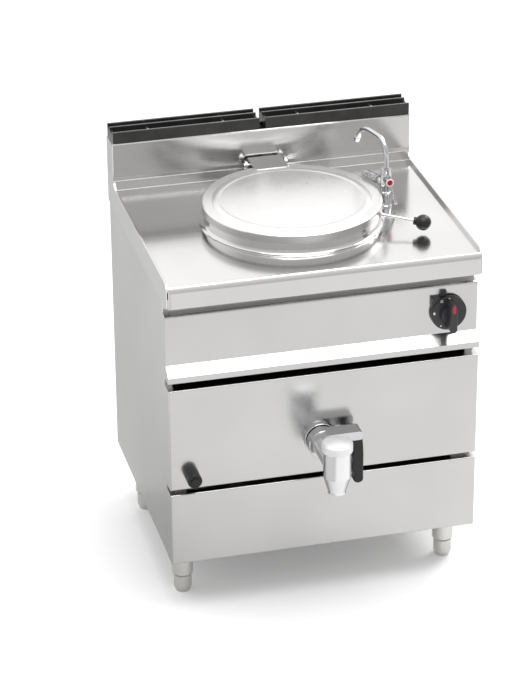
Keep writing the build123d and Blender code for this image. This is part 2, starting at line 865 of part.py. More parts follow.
# ---------------------------------------------------------------- drain
with BuildPart() as drain_pipe:
    pipe_end = panel_y + barrel_tail
    with BuildLine() as drain_path:
        FilletPolyline(
            (tap_x, drain_y, base_z - 0.05),
            (tap_x, drain_y, tap_height),
            (tap_x, pipe_end, tap_height),
            radius=min(tap_bend, 0.9 * (base_z - tap_height)),
        )
    with BuildSketch(Plane(origin=(tap_x, drain_y, base_z - 0.05), z_dir=(0, 0, -1))):
        Circle(tap_pipe_radius)
        Circle(tap_bore, mode=Mode.SUBTRACT)
    sweep(path=drain_path.line)
save(drain_pipe, "drain_pipe")

with BuildPart() as drain_flange:
    with BuildSketch(front_plane(panel_y - fit_gap / 3)):
        with Locations((tap_x, tap_height)):
            Circle(flange_radius)
            Circle(barrel_radius + fit_gap, mode=Mode.SUBTRACT)
    extrude(amount=flange_thick)
    fillet(drain_flange.edges().filter_by(GeomType.CIRCLE).group_by(Axis.Y)[0], radius=2)
save(drain_flange, "drain_flange")

with BuildPart() as drain_nut:
    with BuildSketch(front_plane(panel_y + sheet + 12)):
        with Locations((tap_x, tap_height)):
            RegularPolygon(42, 6)
            Circle(barrel_radius + fit_gap, mode=Mode.SUBTRACT)
    extrude(amount=12 - fit_gap / 3)
save(drain_nut, "drain_nut")

plug_y = panel_y - (hub_back + hub_front) / 2
with BuildPart() as drain_valve_body:
    with BuildSketch(tap_turning):
        with BuildLine():
            cap_seat = tap_body_radius - 6
            Polyline(
                (0, tap_mouth_z),
                (tap_mouth_radius, tap_mouth_z),
                (tap_mouth_radius, tap_mouth_z + 5),
                (tap_body_radius, tap_body_low),
                (tap_body_radius, tap_cap_low),
                (cap_seat, tap_cap_low),
                (cap_seat, tap_cap_low + 12),
                (0, tap_cap_low + 12),
                close=True,
            )
        make_face()
    revolve(axis=tap_axis)
    with BuildSketch(front_plane(tap_y)):
        with Locations((tap_x, tap_height)):
            Circle(barrel_radius)
    extrude(amount=-(panel_y + barrel_tail - 10 - tap_y))
    with BuildSketch(front_plane(tap_y)):
        with Locations((tap_x, tap_height)):
            Circle(tap_bore)
    extrude(amount=-(panel_y + barrel_tail - tap_y), mode=Mode.SUBTRACT)
    with BuildSketch(front_plane(panel_y + barrel_tail - 10)):
        with Locations((tap_x, tap_height)):
            Circle(tap_pipe_radius + fit_gap)
    extrude(amount=10, mode=Mode.SUBTRACT)
    with BuildSketch(front_plane(plug_y + plug_thick / 2 + fit_gap)):
        with Locations((tap_x, tap_height)):
            Circle(tap_bore + 7)
    extrude(amount=plug_thick + 2 * fit_gap, mode=Mode.SUBTRACT)
    with BuildSketch(Plane.XY.offset(tap_mouth_z)):
        with Locations((tap_x, tap_y)):
            Circle(tap_bore)
    extrude(amount=tap_height - tap_mouth_z, mode=Mode.SUBTRACT)
    with BuildSketch(Plane.XY.offset(tap_height)):
        with Locations((tap_x, tap_y)):
            Circle(tap_bore + 4)
    extrude(amount=40, mode=Mode.SUBTRACT)
    # slot that lets the driving pin turn through a quarter
    slot_plane = Plane(origin=(tap_x, plug_y + 4, tap_height), x_dir=(1, 0, 0), z_dir=(0, -1, 0))
    slot_reach = barrel_radius + 4
    slot_start = math.radians(-12)
    slot_end = math.radians(102)
    with BuildSketch(slot_plane):
        with BuildLine():
            CenterArc((0, 0), slot_reach, -12, 114)
            Line((0, 0), (slot_reach * math.cos(slot_start), slot_reach * math.sin(slot_start)))
            Line((0, 0), (slot_reach * math.cos(slot_end), slot_reach * math.sin(slot_end)))
        make_face()
    extrude(amount=8, mode=Mode.SUBTRACT)
save(drain_valve_body, "drain_valve_body")

with BuildPart() as drain_cap:
    with BuildSketch(tap_turning):
        with BuildLine():
            cap1 = Polyline(
                (0, tap_cap_low + 12 + fit_gap),
                (cap_seat + fit_gap, tap_cap_low + 12 + fit_gap),
                (cap_seat + fit_gap, tap_cap_low + fit_gap / 3),
                (tap_cap_radius - 1, tap_cap_low + fit_gap / 3),
                (tap_cap_radius, tap_cap_low + 2),
                (tap_cap_radius, tap_cap_high - 5),
                (tap_cap_radius - 5, tap_cap_high),
            )
            dome_half = tap_cap_radius - 5
            dome_radius = (dome_half**2 + tap_dome**2) / (2 * tap_dome)
            dome_drop = dome_radius - math.sqrt(dome_radius**2 - (dome_half / 2) ** 2)
            cap2 = ThreePointArc(
                cap1 @ 1,
                (dome_half / 2, tap_cap_high + tap_dome - dome_drop),
                (0, tap_cap_high + tap_dome),
            )
            Line(cap2 @ 1, cap1 @ 0)
        make_face()
    revolve(axis=tap_axis)
save(drain_cap, "drain_cap")

with BuildPart() as drain_lever:
    with BuildSketch(front_plane(panel_y - hub_back)):
        with Locations((tap_x, tap_height)):
            Circle(hub_radius)
    extrude(amount=hub_front - hub_back)
    fillet(drain_lever.edges().filter_by(GeomType.CIRCLE), radius=2.5)
    arm_top = tap_height + hub_radius - 0.5
    arm_low = arm_top - arm_thick
    with BuildSketch(front_plane(panel_y - arm_back)):
        with BuildLine():
            Polyline(
                (tap_x, arm_top),
                (tap_x + arm_reach, arm_top),
                (tap_x + arm_reach, arm_low),
                (tap_x + hub_radius + 8, arm_low),
                (tap_x + hub_radius - 6, tap_height),
                (tap_x - hub_radius * 0.9, tap_height),
                (tap_x - hub_radius * 0.9, arm_top - 14),
                close=True,
            )
        make_face()
    extrude(amount=arm_front - arm_back)
    outer_end = drain_lever.edges().filter_by(Axis.Y).sort_by(Axis.X)[-2:]
    fillet(outer_end, radius=7)
    with BuildSketch(front_plane(panel_y)):
        with Locations((tap_x, tap_height)):
            Circle(barrel_radius + run_gap)
    extrude(amount=arm_front + 10, mode=Mode.SUBTRACT)
    # driving pin of the shutter, turned with the lever
    pin_dir = Plane(origin=(tap_x + tap_bore - 2, plug_y, tap_height), x_dir=(0, 1, 0), z_dir=(1, 0, 0))
    with BuildSketch(pin_dir.offset(8)):
        Circle(2.5)
    extrude(amount=barrel_radius - tap_bore - 4)
save(drain_lever, "drain_lever")

with BuildPart() as drain_plug:
    with BuildSketch(front_plane(plug_y + plug_thick / 2)):
        with Locations((tap_x, tap_height)):
            Circle(tap_bore + 7 - run_gap)
            with Locations((0, 10)):
                Circle(7, mode=Mode.SUBTRACT)
    extrude(amount=plug_thick)
    with Locations(Location((tap_x + tap_bore + 5, plug_y, tap_height), (0, 90, 0))):
        Cylinder(2.5, 6, mode=Mode.SUBTRACT)
save(drain_plug, "drain_plug")

with BuildPart() as drain_grip:
    grip_y = panel_y - (arm_back + arm_front) / 2
    groove_top = arm_low - grip_start
    grip_low = arm_low - grip_length
    with BuildSketch(front_plane(grip_y)):
        with BuildLine():
            grip_left = tap_x + 67
            grip_right = tap_x + 94
            right_side = Spline(
                (grip_right, arm_low - fit_gap / 3),
                (grip_right + 4, groove_top - 2 * grip_pitch + 2),
                (grip_right + 4, groove_top - 4 * grip_pitch + 10),
                (grip_right + 4, grip_low + 10),
            )
            left_side = Spline(
                (grip_left, arm_low - fit_gap / 3),
                (grip_left + 1, groove_top),
                (grip_left + 4, groove_top - grip_pitch + 2),
                (grip_left, groove_top - 2 * grip_pitch + 2),
                (grip_left + 4, groove_top - 3 * grip_pitch + 2),
                (grip_left, groove_top - 4 * grip_pitch + 2),
                (grip_left + 4, groove_top - 5 * grip_pitch + 2),
                (grip_left + 4, grip_low + 10),
            )
            Line(left_side @ 0, right_side @ 0)
            bottom = ThreePointArc(
                left_side @ 1, ((grip_left + grip_right) / 2 + 4, grip_low), right_side @ 1
            )
        make_face()
    extrude(amount=13, both=True)
    grip_edges = drain_grip.faces().filter_by(Axis.Y).edges().filter_by(GeomType.BSPLINE)
    fillet(grip_edges, radius=5)
save(drain_grip, "drain_grip")

# ---------------------------------------------------------------- gas controls
with BuildPart() as knob_bezel:
    with BuildSketch(front_plane(control_y)):
        with Locations((knob_x, knob_z)):
            Circle(bezel_radius)
            Circle(spindle_radius + 3, mode=Mode.SUBTRACT)
        with Locations((knob_x - guard_size / 2, knob_z + guard_size / 2)):
            Rectangle(guard_size, guard_size)
        with Locations((knob_x, knob_z)):
            Circle(spindle_radius + 3, mode=Mode.SUBTRACT)
    extrude(amount=bezel_thick)
    # fixed corner beside the turning skirt, and the index tab over it
    with BuildSketch(front_plane(control_y)):
        with Locations((knob_x - guard_size / 2, knob_z + guard_size / 2)):
            RectangleRounded(guard_size, guard_size, 3)
        with Locations((knob_x, knob_z)):
            Circle(knob_skirt_radius + guard_gap, mode=Mode.SUBTRACT)
    extrude(amount=knob_skirt_front - 1)
    with BuildSketch(front_plane(control_y)):
        with Locations((knob_x + tab_offset, knob_z + guard_size + tab_height / 2 - 2)):
            Rectangle(tab_width, tab_height + 4)
    extrude(amount=tab_thick)
    with BuildSketch(front_plane(control_y - bezel_thick)):
        with Locations((knob_x, knob_z)):
            Circle(knob_skirt_radius + guard_gap)
    extrude(amount=knob_skirt_front, mode=Mode.SUBTRACT)
save(knob_bezel, "knob_bezel")

with BuildPart() as control_knob:
    with BuildSketch(front_plane(control_y - knob_skirt_back)):
        with Locations((knob_x, knob_z)):
            Circle(knob_skirt_radius)
    extrude(amount=knob_skirt_front - knob_skirt_back)
    fillet(control_knob.edges().filter_by(GeomType.CIRCLE).group_by(Axis.Y)[0], radius=3)
    with BuildSketch(front_plane(control_y - knob_skirt_front + 1)):
        with Locations((knob_x, knob_z)):
            Circle(knob_hub_radius)
    extrude(amount=14, taper=12)
    with BuildSketch(front_plane(control_y - knob_skirt_front + 1)):
        with Locations((knob_x, knob_z)):
            SlotOverall(knob_grip_height, knob_grip_width, rotation=90)
    extrude(amount=knob_front - knob_skirt_front + 1, taper=2.5)
    grip_top = control_knob.faces().sort_by(Axis.Y)[0]
    fillet(grip_top.edges(), radius=3)
    with BuildSketch(front_plane(control_y)):
        with Locations((knob_x, knob_z)):
            Circle(spindle_radius)
    extrude(amount=knob_skirt_front + 10, mode=Mode.SUBTRACT)
save(control_knob, "control_knob")

with BuildPart() as valve_spindle:
    with BuildSketch(front_plane(control_y + sheet + 30)):
        with Locations((knob_x, knob_z)):
            Circle(spindle_radius)
    extrude(amount=30 + sheet + knob_skirt_front + 10)
save(valve_spindle, "valve_spindle")

valve_y = control_y + sheet
with BuildPart() as gas_valve:
    with Locations((knob_x, valve_y + 45, knob_z)):
        Box(42, 90 - fit_gap, 52)
    fillet(gas_valve.edges().filter_by(Axis.Y), radius=6)
    with Locations((knob_x, valve_y + 70, knob_z - 34)):
        Cylinder(12, 20)
    with Locations(Location((knob_x - 27, valve_y + 70, knob_z), (0, 90, 0))):
        Cylinder(12, 16)
    with Locations(Location((knob_x, valve_y + 16, knob_z), (90, 0, 0))):
        Cylinder(spindle_radius + run_gap, 34, mode=Mode.SUBTRACT)
save(gas_valve, "gas_valve")


def bent_pipe(points, outer, inner, bend, start):
    """Tube swept along straight runs joined by bends."""
    with BuildPart() as pipe:
        with BuildLine() as path:
            FilletPolyline(*points, radius=bend)
        with BuildSketch(Plane(origin=points[0], z_dir=start)):
            Circle(outer)
            Circle(inner, mode=Mode.SUBTRACT)
        sweep(path=path.line)
    return pipe


valve_pipe_y = valve_y + 70
gas_supply_pipe = bent_pipe(
    [
        (knob_x, valve_pipe_y, knob_z - 44),
        (knob_x, valve_pipe_y, gas_z + 190),
        (gas_x, valve_pipe_y, gas_z + 150),
        (gas_x, valve_pipe_y, gas_z),
        (gas_x, side_rear - 14, gas_z),
    ],
    7,
    5.5,
    18,
    (0, 0, -1),
)


def rear_fitting(x, z, radius):
    """Bulkhead fitting in the rear panel: hexagon inside, threaded stub outside."""
    with BuildPart() as fitting:
        with BuildSketch(front_plane(side_rear - sheet)):
            with Locations((x, z)):
                RegularPolygon(radius + 5, 6)
        extrude(amount=12)
        with BuildSketch(front_plane(rear_y)):
            with Locations((x, z)):
                Circle(radius)
        extrude(amount=rear_inset + sheet + 1)
    return fitting


inlet_points = [(gas_x, gas_z), (faucet_x, cold_line_z), (faucet_x, hot_line_z)]
fittings = [rear_fitting(x, z, inlet_radius) for x, z in inlet_points]
with BuildPart() as supply_inlets:
    add([fitting.part for fitting in fittings])
save(supply_inlets, "supply_inlets")

burner_z = 400.0
mix_x = 90.0
gas_burner_pipe = bent_pipe(
    [
        (knob_x - 35, valve_pipe_y, knob_z),
        (knob_x - 60, valve_pipe_y, knob_z),
        (knob_x - 60, valve_pipe_y, burner_z),
        (mix_x, valve_pipe_y, burner_z),
        (mix_x, chamber_y - 172, burner_z),
    ],
    6,
    4.5,
    16,
    (-1, 0, 0),
)
with BuildPart() as gas_pipes:
    add([gas_supply_pipe.part, gas_burner_pipe.part])
save(gas_pipes, "gas_pipes")

chamber_radius = 150.0
branch_width = 140.0
branch_height = 100.0
branch_z = burner_z - 10
duct_low = burner_z - 70
duct_width = 300.0
duct_depth = 40.0
duct_sheet = 1.5
with BuildPart() as burner:
    with BuildSketch(Plane.XY.offset(burner_z - 12)):
        with Locations((0, chamber_y)):
            Circle(104)
            Circle(76, mode=Mode.SUBTRACT)
    extrude(amount=24)
    chamfer(burner.edges().filter_by(GeomType.CIRCLE), length=4)
    with Locations((0, chamber_y, burner_z)):
        Box(170, 16, 16)
    with Locations(Location((mix_x, chamber_y - 80, burner_z), (90, 0, 0))):
        Cylinder(11, 160)
    with Locations(Location((mix_x, chamber_y - 165, burner_z), (90, 0, 0))):
        Cylinder(16, 14)
    with Locations(Location((0, chamber_y + 125, burner_z), (90, 0, 0))):
        Cylinder(6, 46)
    with Locations((0, chamber_y, burner_z + 12)):
        with PolarLocations(90, 18):
            Cylinder(2, 10, mode=Mode.SUBTRACT)
save(burner, "burner")

with BuildPart() as pilot_burner:
    with Locations((-94.2, chamber_y - 55, burner_z + 6)):
        Cylinder(5, 44)
    with Locations((-94.2, chamber_y - 55, burner_z + 30)):
        Cylinder(7, 6)
save(pilot_burner, "pilot_burner")

with BuildPart() as combustion_chamber:
    with BuildSketch(Plane.XY.offset(bearer_top)):
        with Locations((0, chamber_y)):
            Circle(chamber_radius)
            Circle(chamber_radius - 1.5, mode=Mode.SUBTRACT)
    extrude(amount=sump_z - bearer_top - 0.1)
    with Locations((0, chamber_y + chamber_radius - 10, branch_z)):
        Box(branch_width + fit_gap, 60, branch_height + fit_gap, mode=Mode.SUBTRACT)
    with Locations(Location((mix_x, chamber_y - 130, burner_z), (90, 0, 0))):
        Cylinder(11 + fit_gap, 80, mode=Mode.SUBTRACT)
    with Locations((0, chamber_y, 250)):
        with PolarLocations(chamber_radius, 12):
            Cylinder(8, 20, rotation=(0, 90, 0), mode=Mode.SUBTRACT)
save(combustion_chamber, "combustion_chamber")

with BuildPart() as flue_duct:
    duct_y = riser_y + 30
    duct_height = riser_top - 6 - duct_low
    branch_end = chamber_y + chamber_radius - 12
    branch_inner_end = branch_end - 18
    with Locations((0, duct_y, duct_low + duct_height / 2)):
        Box(duct_width, duct_depth, duct_height)
    with Locations((0, (branch_end + duct_y) / 2, branch_z)):
        Box(branch_width, duct_y - branch_end, branch_height)
    with Locations((0, duct_y, duct_low + duct_height / 2 + 5)):
        Box(duct_width - 2 * duct_sheet, duct_depth - 2 * duct_sheet, duct_height + 10, mode=Mode.SUBTRACT)
    with Locations((0, (branch_inner_end + duct_y) / 2, branch_z)):
        Box(
            branch_width - 2 * duct_sheet,
            duct_y - branch_inner_end,
            branch_height - 2 * duct_sheet,
            mode=Mode.SUBTRACT,
        )
save(flue_duct, "flue_duct")

with BuildPart() as igniter_body:
    with BuildSketch(front_plane(panel_y - fit_gap / 3)):
        with Locations((igniter_x, igniter_z)):
            Circle(igniter_radius)
    extrude(amount=igniter_depth)
    fillet(igniter_body.edges().filter_by(GeomType.CIRCLE).group_by(Axis.Y)[0], radius=2)
    with BuildSketch(front_plane(panel_y + 34)):
        with Locations((igniter_x, igniter_z)):
            Circle(button_radius + 1)
    extrude(amount=36)
    with BuildSketch(front_plane(panel_y + sheet + 8)):
        with Locations((igniter_x, igniter_z)):
            RegularPolygon(15, 6)
    extrude(amount=8 - fit_gap / 3)
    with BuildSketch(front_plane(panel_y - igniter_depth + 14)):
        with Locations((igniter_x, igniter_z)):
            Circle(button_radius + run_gap)
    extrude(amount=20, mode=Mode.SUBTRACT)
save(igniter_body, "igniter_body")

with BuildPart() as igniter_button:
    with BuildSketch(front_plane(panel_y - igniter_depth + 14 - button_travel - fit_gap)):
        with Locations((igniter_x, igniter_z)):
            Circle(button_radius)
    extrude(amount=14 - button_travel + button_proud - fit_gap)
    fillet(igniter_button.edges().filter_by(GeomType.CIRCLE).group_by(Axis.Y)[0], radius=1.5)
save(igniter_button, "igniter_button")

# ---------------------------------------------------------------- faucet
faucet_turning = Plane(origin=(faucet_x, faucet_y, 0), x_dir=(1, 0, 0), z_dir=(0, -1, 0))
faucet_axis = Axis((faucet_x, faucet_y, 0), (0, 0, 1))
hot_front = 26.0
with BuildPart() as faucet_pillar:
    with BuildSketch(faucet_turning):
        with BuildLine():
            foot_arc = Polyline(
                (0, floor_z), (faucet_foot, floor_z), (faucet_foot, floor_z + 4), (faucet_foot - 2, floor_z + 6)
            )
            Polyline(
                foot_arc @ 1,
                (faucet_neck + 3, floor_z + 20),
                (faucet_neck, floor_z + 34),
                (faucet_body, floor_z + 44),
                (faucet_body, faucet_top),
                (0, faucet_top),
                (0, floor_z),
            )
        make_face()
    revolve(axis=faucet_axis)
    with BuildSketch(Plane.XY.offset(floor_z)):
        with Locations((faucet_x, faucet_y)):
            Circle(faucet_waist)
    extrude(amount=-faucet_shank)
    with BuildSketch(front_plane(faucet_y)):
        with Locations((faucet_x, hot_z)):
            Circle(11)
    extrude(amount=hot_front - 7)
    cold_turn = math.radians(cold_angle)
    cold_plane = Plane(
        origin=(faucet_x, faucet_y, cold_z), z_dir=(math.cos(cold_turn), math.sin(cold_turn), 0)
    )
    with BuildSketch(cold_plane):
        Circle(11)
    extrude(amount=20)
    with BuildSketch(cold_plane.offset(14)):
        Circle(4 + run_gap)
    extrude(amount=7, mode=Mode.SUBTRACT)
    with BuildSketch(front_plane(faucet_y - 12)):
        with Locations((faucet_x, hot_z)):
            Circle(4 + run_gap)
    extrude(amount=10, mode=Mode.SUBTRACT)
    with BuildSketch(Plane.XY.offset(faucet_top - 16)):
        with Locations((faucet_x, faucet_y)):
            Circle(spout_radius - 1 + run_gap)
    extrude(amount=17, mode=Mode.SUBTRACT)
save(faucet_pillar, "faucet_pillar")

with BuildPart() as faucet_nut:
    with BuildSketch(Plane.XY.offset(floor_z - sheet - 12.1)):
        with Locations((faucet_x, faucet_y)):
            RegularPolygon(19, 6)
            Circle(faucet_waist + fit_gap, mode=Mode.SUBTRACT)
    extrude(amount=12)
save(faucet_nut, "faucet_nut")

spout_turn = math.radians(spout_park)
spout_plane = Plane(
    origin=(faucet_x, faucet_y, 0),
    x_dir=(math.cos(spout_turn), math.sin(spout_turn), 0),
    z_dir=(math.sin(spout_turn), -math.cos(spout_turn), 0),
)
fall = math.radians(spout_fall_angle)
peak_z = spout_rise + spout_bend
with BuildPart() as faucet_spout:
    with BuildLine(spout_plane) as spout_path:
        path1 = Line((0, faucet_top + 1), (0, spout_rise))
        path2 = ThreePointArc(
            path1 @ 1,
            (spout_bend * (1 - turn), spout_rise + spout_bend * turn),
            (spout_bend, peak_z),
        )
        path3 = Line(path2 @ 1, (spout_bend + spout_flat, peak_z))
        path4 = ThreePointArc(
            path3 @ 1,
            (
                spout_bend + spout_flat + spout_fall * math.sin(fall / 2),
                peak_z - spout_fall * (1 - math.cos(fall / 2)),
            ),
            (
                spout_bend + spout_flat + spout_fall * math.sin(fall),
                peak_z - spout_fall * (1 - math.cos(fall)),
            ),
        )
        path5 = Line(
            path4 @ 1,
            (
                spout_bend + spout_flat + spout_fall * math.sin(fall) + 8 * math.cos(fall),
                peak_z - spout_fall * (1 - math.cos(fall)) - 8 * math.sin(fall),
            ),
        )
    with BuildSketch(Plane.XY.offset(faucet_top + 1)):
        with Locations((faucet_x, faucet_y)):
            Circle(spout_radius)
    sweep(path=spout_path.line)
    with BuildSketch(Plane.XY.offset(faucet_top + 0.2)):
        with Locations((faucet_x, faucet_y)):
            Circle(faucet_body - 1)
    extrude(amount=12)
    with BuildSketch(Plane.XY.offset(faucet_top - 15)):
        with Locations((faucet_x, faucet_y)):
            Circle(spout_radius - 1)
    extrude(amount=16)
save(faucet_spout, "faucet_spout")

with BuildPart() as aerator:
    mouth = spout_path.line @ 1
    mouth_dir = spout_path.line % 1
    mouth_plane = Plane(origin=mouth, z_dir=mouth_dir)
    with BuildSketch(mouth_plane):
        Circle(aerator_radius)
    extrude(amount=aerator_length)
    fillet(aerator.edges().filter_by(GeomType.CIRCLE), radius=1)
    with BuildSketch(mouth_plane.offset(aerator_length)):
        Circle(aerator_bore)
    extrude(amount=-6, mode=Mode.SUBTRACT)
save(aerator, "aerator")

hot_turn = math.radians(hot_angle)
hot_y = faucet_y - hot_front + 6.7
with BuildPart() as hot_handle:
    with BuildSketch(front_plane(hot_y)):
        with Locations((faucet_x, hot_z)):
            Circle(10.5)
    extrude(amount=14)
    with BuildSketch(front_plane(hot_y + 7)):
        with Locations((faucet_x, hot_z)):
            Circle(4)
    extrude(amount=8)
    lever_plane = Plane(
        origin=(faucet_x, hot_y - 7, hot_z), z_dir=(math.cos(hot_turn), 0, math.sin(hot_turn)), x_dir=(0, 1, 0)
    )
    with BuildSketch(lever_plane.offset(5)):
        Ellipse(5, 4)
    with BuildSketch(lever_plane.offset(hot_lever * 0.6)):
        Ellipse(3.5, 3.2)
    with BuildSketch(lever_plane.offset(hot_lever - 4)):
        Ellipse(5, 5.5)
    loft()
    with Locations(lever_plane.offset(hot_lever - 4).origin):
        Sphere(4.95)
save(hot_handle, "hot_handle")

with BuildPart() as hot_index:
    with BuildSketch(front_plane(hot_y - 14)):
        with Locations((faucet_x, hot_z)):
            Circle(7)
    extrude(amount=1.5)
save(hot_index, "hot_index")

with BuildPart() as cold_handle:
    knob_start = cold_plane.offset(20.3)
    with BuildSketch(knob_start):
        Circle(cold_radius - 2)
    extrude(amount=10)
    with BuildSketch(knob_start.offset(-6)):
        Circle(4)
    extrude(amount=8)
    with BuildSketch(knob_start.offset(10)):
        Circle(cold_radius)
        with PolarLocations(cold_radius + 0.6, 16):
            Circle(1.3, mode=Mode.SUBTRACT)
    extrude(amount=54)
    with BuildSketch(knob_start.offset(64)):
        Circle(cold_radius - 1.5)
    extrude(amount=3)
save(cold_handle, "cold_handle")

cold_pipe = bent_pipe(
    [
        (faucet_x, faucet_y - 12, floor_z - faucet_shank),
        (faucet_x, faucet_y - 12, cold_line_z),
        (faucet_x, side_rear - 14, cold_line_z),
    ],
    6,
    5,
    30,
    (0, 0, -1),
)
hot_pipe = bent_pipe(
    [
        (faucet_x, faucet_y + 12, floor_z - faucet_shank),
        (faucet_x, faucet_y + 12, hot_line_z),
        (faucet_x, side_rear - 14, hot_line_z),
    ],
    6,
    5,
    30,
    (0, 0, -1),
)
with BuildPart() as water_pipes:
    add([cold_pipe.part, hot_pipe.part])
save(water_pipes, "water_pipes")

# ---------------------------------------------------------------- legs
leg_places = {
    "front_left": (-leg_x, leg_front_y),
    "front_right": (leg_x, leg_front_y),
    "rear_left": (-leg_x, leg_rear_y),
    "rear_right": (leg_x, leg_rear_y),
}
origin_turning = front_plane(0)
with BuildPart() as leg_socket:
    with BuildSketch(origin_turning):
        with BuildLine():
            Polyline(
                (socket_bore, socket_low),
                (socket_radius, socket_low + 2),
                (socket_radius, leg_height - 4),
                (socket_radius + 9, leg_height - 4),
                (socket_radius + 9, leg_height),
                (0, leg_height),
                (0, leg_height - 6),
                (socket_bore, leg_height - 6),
                close=True,
            )
        make_face()
    revolve(axis=Axis.Z)
    with BuildSketch(Plane.XY.offset(leg_height - 66)):
        Circle(16)
        Circle(stem_radius + run_gap, mode=Mode.SUBTRACT)
    extrude(amount=61)
with BuildPart() as leg_sockets:
    with Locations(*[(x, y, 0) for x, y in leg_places.values()]):
        add(leg_socket.part)
save(leg_sockets, "leg_sockets")

with BuildPart() as foot:
    with BuildSketch(origin_turning):
        with BuildLine():
            Polyline(
                (0, 0),
                (foot_radius - foot_chamfer, 0),
                (foot_radius - 1, 11),
                (foot_radius, 13),
                (foot_radius, foot_height),
                (stem_radius, foot_height),
                (stem_radius, leg_height - 20),
                (0, leg_height - 20),
                close=True,
            )
        make_face()
    revolve(axis=Axis.Z)
for leg_name, (foot_x, foot_y) in leg_places.items():
    with BuildPart() as placed_foot:
        with Locations((foot_x, foot_y, 0)):
            add(foot.part)
    save(placed_foot, "foot_" + leg_name)
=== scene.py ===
import json
import math

import bpy
from mathutils import Matrix, Vector


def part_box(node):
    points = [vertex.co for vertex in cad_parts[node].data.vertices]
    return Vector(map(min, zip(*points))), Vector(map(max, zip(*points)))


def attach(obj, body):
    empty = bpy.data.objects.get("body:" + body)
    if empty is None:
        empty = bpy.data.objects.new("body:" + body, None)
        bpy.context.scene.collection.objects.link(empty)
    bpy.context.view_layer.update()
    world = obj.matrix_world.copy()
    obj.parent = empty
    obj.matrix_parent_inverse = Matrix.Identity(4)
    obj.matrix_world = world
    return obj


MM = 0.001

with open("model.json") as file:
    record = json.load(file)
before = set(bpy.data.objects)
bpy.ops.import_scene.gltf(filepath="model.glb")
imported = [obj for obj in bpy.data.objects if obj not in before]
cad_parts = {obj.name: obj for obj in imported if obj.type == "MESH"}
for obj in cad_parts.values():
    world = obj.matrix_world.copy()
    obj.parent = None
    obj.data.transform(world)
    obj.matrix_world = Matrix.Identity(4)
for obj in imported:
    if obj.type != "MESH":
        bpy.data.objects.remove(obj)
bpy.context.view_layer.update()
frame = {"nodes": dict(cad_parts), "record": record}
nodes = frame["nodes"]


# ---------------------------------------------------------------- colours and shader nodes
def lin(code):
    """sRGB hex to linear RGBA."""
    out = []
    for i in (0, 2, 4):
        c = int(code[i:i + 2], 16) / 255
        out.append(c / 12.92 if c <= 0.04045 else ((c + 0.055) / 1.055) ** 2.4)
    return (*out, 1.0)


def grey(share):
    """Neutral linear tone, as a share of white."""
    return (share, share, share, 1.0)


def node(tree, kind, inputs=None, stops=(), **settings):
    """Adds one shader node. An input is a value or another node's output; stops are a colour ramp's."""
    item = tree.nodes.new(kind)
    for key, value in settings.items():
        setattr(item, key, value)
    for key, value in (inputs or {}).items():
        if isinstance(value, bpy.types.NodeSocket):
            tree.links.new(value, item.inputs[key])
        else:
            item.inputs[key].default_value = value
    if stops:
        band = item.color_ramp.elements
        for element, (place, colour) in ((band[0], stops[0]), (band[1], stops[-1])):
            element.position, element.color = place, colour
        for place, colour in stops[1:-1]:
            band.new(place).color = colour
    return item


def new_finish(name):
    """An empty material with its shader and its coordinates."""
    mat = bpy.data.materials.new(name)
    mat.use_nodes = True
    tree = mat.node_tree
    tree.nodes.clear()
    shader = node(tree, "ShaderNodeBsdfPrincipled")
    node(tree, "ShaderNodeOutputMaterial", {"Surface": shader.outputs["BSDF"]})
    return mat, tree, shader, node(tree, "ShaderNodeTexCoord")


def times(tree, colour, shade):
    """One colour multiplied by another."""
    mixed = node(
        tree,
        "ShaderNodeMix",
        {"Factor": 1.0, "A": colour, "B": shade},
        data_type="RGBA",
        blend_type="MULTIPLY",
    )
    return mixed.outputs["Result"]


